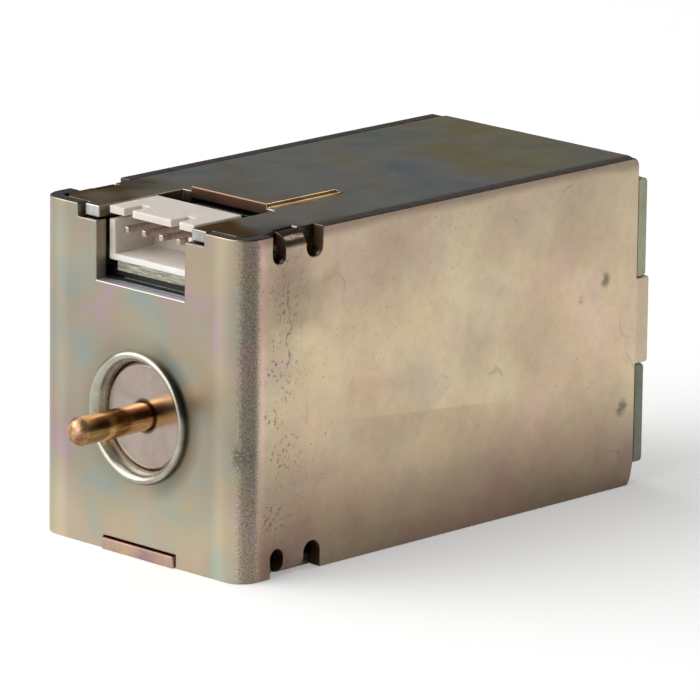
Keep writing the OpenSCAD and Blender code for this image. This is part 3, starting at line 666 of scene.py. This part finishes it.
def pin_finish():
    """Drawn brass with tarnish and fine lines along the rod, a painted dark reflection and a matt
    coppery tip.
    """
    s = Surface("pin_brass", metallic=1.0)
    tarnish = s.noise(1.3, detail=3, stretch=(1, 9, 1), warp=0.3)
    dark = (0.4, 0.2, 0.09)
    copper = (0.74, 0.45, 0.19)
    brass = (0.98, 0.7, 0.34)
    colour = s.ramp(tarnish, (0.34, dark), (0.48, copper), (0.62, brass))
    tip = s.step(s.y, PIN_TIP_Y + 1.6, PIN_TIP_Y + 0.6)
    umber = (0.3, 0.13, 0.08)
    salmon = (0.62, 0.36, 0.25)
    colour = s.mix(s.times(tip, 0.7), colour, s.ramp(tarnish, (0.36, umber), (0.6, salmon)))
    lines = s.noise(0.16, stretch=(1, 20, 1))
    colour = s.shade(colour, s.step(lines, 0.55, 0.4), (0.72, 0.68, 0.64))
    # Painted reflection: a dark band along the pin's upper side
    dark_reflection = s.step(s.faces(0.82, 0.0, 0.57), 0.8, 0.97)
    dark_reflection = s.times(dark_reflection, s.step(s.y, PIN_TIP_Y + 0.8, PIN_TIP_Y + 2.8))
    colour = s.shade(colour, dark_reflection, (0.3, 0.22, 0.17))
    s.bump(lines, 0.003)
    rough = s.line(tarnish, 0.1, 0.08)
    return s.finish(colour, s.line(tip, 0.26, rough))


def wound_finish(name, dark, light, pitch, roughness):
    """Fine wire wound round the axis: one ridge for each turn."""
    s = Surface(name, roughness, metallic=1.0)
    ridge = s.math("SINE", s.times(s.y, 2 * math.pi / pitch))
    s.bump(ridge, 0.25 * pitch)
    return s.finish(s.mix(s.step(ridge, -1.0, 0.6), dark, light))


def laminate_finish():
    """Glass-epoxy board: green lacquer above and below, pale fibres along the cut edges."""
    s = Surface("board_laminate")
    fibre = s.noise(0.22, detail=3, stretch=(7, 7, 1), warp=0.4)
    resin = (0.12, 0.11, 0.07)
    glass = (0.3, 0.29, 0.21)
    chalk = (0.5, 0.48, 0.38)
    edge = s.ramp(fibre, (0.32, resin), (0.5, glass), (0.66, chalk))
    drift = s.noise(2.0, detail=3, shift=2.0)
    lacquer = s.two_tone(drift, dark=(0.02, 0.075, 0.03), light=(0.035, 0.11, 0.05))
    s.bump(fibre, 0.01)
    return s.finish(s.mix(s.along(0, 0, 1), edge, lacquer))


def header_finish():
    """Natural nylon that light goes a little way into, painted darker at the top and lighter lower down.
    """
    s = Surface("header_plastic")
    s.put(s.shader.inputs["Subsurface Weight"], 1.0)
    s.put(s.shader.inputs["Subsurface Radius"], (1.0, 1.0, 1.0))
    s.put(s.shader.inputs["Subsurface Scale"], 0.5 * MM)
    grain = s.noise(1.2, detail=3)
    painted_dim_top = s.two_tone(grain, dark=(0.71, 0.64, 0.57), light=(0.77, 0.7, 0.63))
    painted_bright_below = s.two_tone(grain, dark=(0.9, 0.88, 0.84), light=(0.95, 0.93, 0.89))
    s.bump(grain, 0.002)
    # Painted light and shade: the top is darker and the shaded inside lighter
    colour = s.mix(s.step(s.z, TOP_Z - 4.0, TOP_Z - 6.0), painted_dim_top, painted_bright_below)
    return s.finish(colour, s.line(grain, 0.1, 0.4))


def grained(name, dark, light, size, roughness, metallic=0.0):
    """A finish with a fine two-tone grain, rougher where it is lighter."""
    s = Surface(name, metallic=metallic)
    grain = s.noise(size, detail=3)
    s.bump(grain, 0.002)
    rough = s.line(grain, 0.1, roughness - 0.05)
    return s.finish(s.two_tone(grain, dark, light), rough)


GRAINED = {
    "spring_steel": dict(
        dark=(0.45, 0.45, 0.46), light=(0.6, 0.6, 0.61), size=0.6, roughness=0.3, metallic=1.0
    ),
    "shim_brass": dict(
        dark=(0.55, 0.4, 0.18), light=(0.7, 0.53, 0.27), size=1.0, roughness=0.35, metallic=1.0
    ),
    "yoke_steel": dict(
        dark=(0.3, 0.31, 0.33), light=(0.46, 0.47, 0.5), size=0.8, roughness=0.4, metallic=1.0
    ),
    "tinned_metal": dict(
        dark=(0.55, 0.55, 0.54), light=(0.7, 0.7, 0.69), size=0.5, roughness=0.25, metallic=1.0
    ),
    "pin_tin": dict(
        dark=(0.42, 0.33, 0.3), light=(0.6, 0.5, 0.44), size=0.5, roughness=0.25, metallic=1.0
    ),
    "buffer_rubber": dict(dark=grey(0.02), light=grey(0.04), size=0.4, roughness=0.8),
    "black_plastic": dict(dark=grey(0.008), light=grey(0.018), size=0.3, roughness=0.55),
    "film_plastic": dict(dark=grey(0.01), light=grey(0.02), size=1.0, roughness=0.45),
    "bobbin_plastic": dict(dark=(0.6, 0.56, 0.46), light=(0.72, 0.68, 0.58), size=0.5, roughness=0.5),
    "coil_tape": dict(dark=(0.6, 0.42, 0.06), light=(0.7, 0.5, 0.1), size=1.0, roughness=0.35),
    "package_plastic": dict(
        dark=(0.015, 0.015, 0.016), light=(0.03, 0.03, 0.032), size=0.2, roughness=0.5
    ),
    "varistor_coat": dict(dark=(0.5, 0.2, 0.02), light=(0.62, 0.28, 0.04), size=0.6, roughness=0.25),
    "capacitor_body": dict(dark=(0.55, 0.33, 0.04), light=(0.62, 0.4, 0.06), size=0.5, roughness=0.35),
    "resistor_body": dict(dark=(0.02, 0.02, 0.022), light=(0.04, 0.04, 0.044), size=0.2, roughness=0.3),
}
LATHED = {
    "tube_steel": dict(
        dark=(0.4, 0.38, 0.31), light=(0.56, 0.54, 0.46), roughness=0.2, groove=0.18, depth=0.003
    ),
    "core_iron": dict(
        dark=(0.42, 0.33, 0.28), light=(0.5, 0.41, 0.36), roughness=0.16, groove=0.15, depth=0.0015
    ),
}
WOUND = {
    "coil_wire": dict(dark=(0.2, 0.06, 0.02), light=(0.55, 0.22, 0.08), pitch=0.25, roughness=0.3),
}
finishes = {
    "zinc_wrap": wrap_finish(),
    "zinc_channel": channel_finish(),
    "pin_brass": pin_finish(),
    "board_laminate": laminate_finish(),
    "header_plastic": header_finish(),
}
for recipe, looks in ((grained, GRAINED), (lathe_finish, LATHED), (wound_finish, WOUND)):
    finishes.update({slot: recipe(slot, **look) for slot, look in looks.items()})


# Pieces


def stands_for(piece, node):
    """Rides a new piece on its node's body, in that node's place."""
    bpy.context.scene.collection.objects.link(piece)
    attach(piece, frame["nodes"][node]["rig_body"])
    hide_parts(node)


def dressed(node, edge):
    """A node's own solid with rounded edges and its finish."""
    mesh = frame["nodes"][node].data.copy()
    mesh.name = node + "_skin"
    mesh.materials.clear()
    mesh.materials.append(finishes[SLOTS[node]])
    bm = bmesh.new()
    bm.from_mesh(mesh)
    bmesh.ops.remove_doubles(bm, verts=bm.verts, dist=WELD_GAP)
    bmesh.ops.dissolve_limit(bm, angle_limit=FLAT_ANGLE, verts=bm.verts, edges=bm.edges)
    for face in bm.faces:
        face.smooth = True
        face.material_index = 0
    solid = BVHTree.FromBMesh(bm)
    corners = [e for e in bm.edges if e.is_manifold and e.calc_face_angle() > SHARP_ANGLE]
    bmesh.ops.bevel(
        bm, geom=corners, offset=edge, offset_type="OFFSET", segments=EDGE_SEGMENTS, profile=0.5,
        affect="EDGES", clamp_overlap=False, loop_slide=True
    )
    # Points that the rounding threw off the solid go back to its surface
    for vert in bm.verts:
        spot, _, _, gap = solid.find_nearest(vert.co)
        if gap > STRAY_SHARE * edge:
            vert.co = spot
    bm.to_mesh(mesh)
    bm.free()
    mesh.set_sharp_from_angle(angle=SMOOTH_ANGLE)
    piece = bpy.data.objects.new(node + "_skin", mesh)
    weights = piece.modifiers.new("flat faces", "WEIGHTED_NORMAL")
    weights.keep_sharp = True
    stands_for(piece, node)


def tube_mesh(name, rings, closed):
    """A smooth mesh through rings of points, closed on itself or capped at both ends."""
    bm = bmesh.new()
    loops = [[bm.verts.new(spot) for spot in ring] for ring in rings]
    pairs = list(zip(loops, loops[1:]))
    if closed:
        pairs.append((loops[-1], loops[0]))
    for near, far in pairs:
        for j in range(len(near)):
            k = (j + 1) % len(near)
            bm.faces.new((near[j], near[k], far[k], far[j])).smooth = True
    if not closed:
        bm.faces.new(loops[0][::-1])
        bm.faces.new(loops[-1])
    bmesh.ops.recalc_face_normals(bm, faces=bm.faces)
    mesh = bpy.data.meshes.new(name)
    bm.to_mesh(mesh)
    bm.free()
    return mesh


def rim_outline():
    """Radius and place along the axis of the rings from the bore over the crest to the outside.

    The flare is a quarter of an ellipse, made flatter by a power above 1.
    """
    outline = []
    quarter = [math.pi / 2 * i / RIM_STEPS for i in range(RIM_STEPS + 1)]
    for turn in quarter:
        reach = RIM_CREST - (RIM_CREST - TUBE_BORE) * math.cos(turn) ** RIM_FLATNESS
        y = RIM_MOUTH_Y - (RIM_MOUTH_Y - RIM_CREST_Y) * math.sin(turn) ** RIM_FLATNESS
        outline.append((reach, y))
    for turn in quarter[1:]:
        reach = RIM_CREST + (RIM_OUT - RIM_CREST) * math.sin(turn)
        y = RIM_SHOULDER_Y - (RIM_SHOULDER_Y - RIM_CREST_Y) * math.cos(turn)
        outline.append((reach, y))
    return outline + [(RIM_OUT, 0.0), (TUBE_OUT, 0.0)]


def rolled_tube():
    """The guide tube with its front end rolled out into a round bead with a flared mouth."""
    _, rear = ends("guide_tube")
    turns = [2 * math.pi * i / TUBE_STEPS for i in range(TUBE_STEPS)]
    rings = []
    for reach, y in rim_outline() + [(TUBE_OUT, rear), (TUBE_BORE, rear)]:
        rings.append([(reach * math.cos(turn), y, reach * math.sin(turn)) for turn in turns])
    mesh = tube_mesh("guide_tube_skin", rings, closed=True)
    mesh.materials.append(finishes["tube_steel"])
    mesh.set_sharp_from_angle(angle=SMOOTH_ANGLE)
    stands_for(bpy.data.objects.new("guide_tube_skin", mesh), "guide_tube")


def coil_spring():
    """The return spring as a smooth coil."""
    rings = []
    count = SPRING_TURNS * SPRING_STEPS
    length = SPRING_REAR - SPRING_FRONT
    for i in range(count + 1):
        turn = 2 * math.pi * i / SPRING_STEPS
        middle = SPRING_FRONT + SPRING_WIRE_R + (length - 2 * SPRING_WIRE_R) * i / count
        ring = []
        for j in range(SPRING_SIDES):
            around = 2 * math.pi * j / SPRING_SIDES
            reach = SPRING_MEAN_R + SPRING_WIRE_R * math.cos(around)
            y = middle + SPRING_WIRE_R * math.sin(around)
            ring.append((reach * math.cos(turn), y, reach * math.sin(turn)))
        rings.append(ring)
    mesh = tube_mesh("return_spring_coil", rings, closed=False)
    mesh.materials.append(finishes["spring_steel"])
    piece = bpy.data.objects.new("return_spring_coil", mesh)
    stands_for(piece, "return_spring")
    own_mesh(piece)


SHEETS = ("wrap_shell", "channel_frame")
REDRAWN = ("guide_tube", "return_spring")
for node in sorted(frame["nodes"]):
    if node in SHEETS:
        dressed(node, SHEET_EDGE)
    elif node not in REDRAWN:
        dressed(node, PART_EDGE)
rolled_tube()
coil_spring()
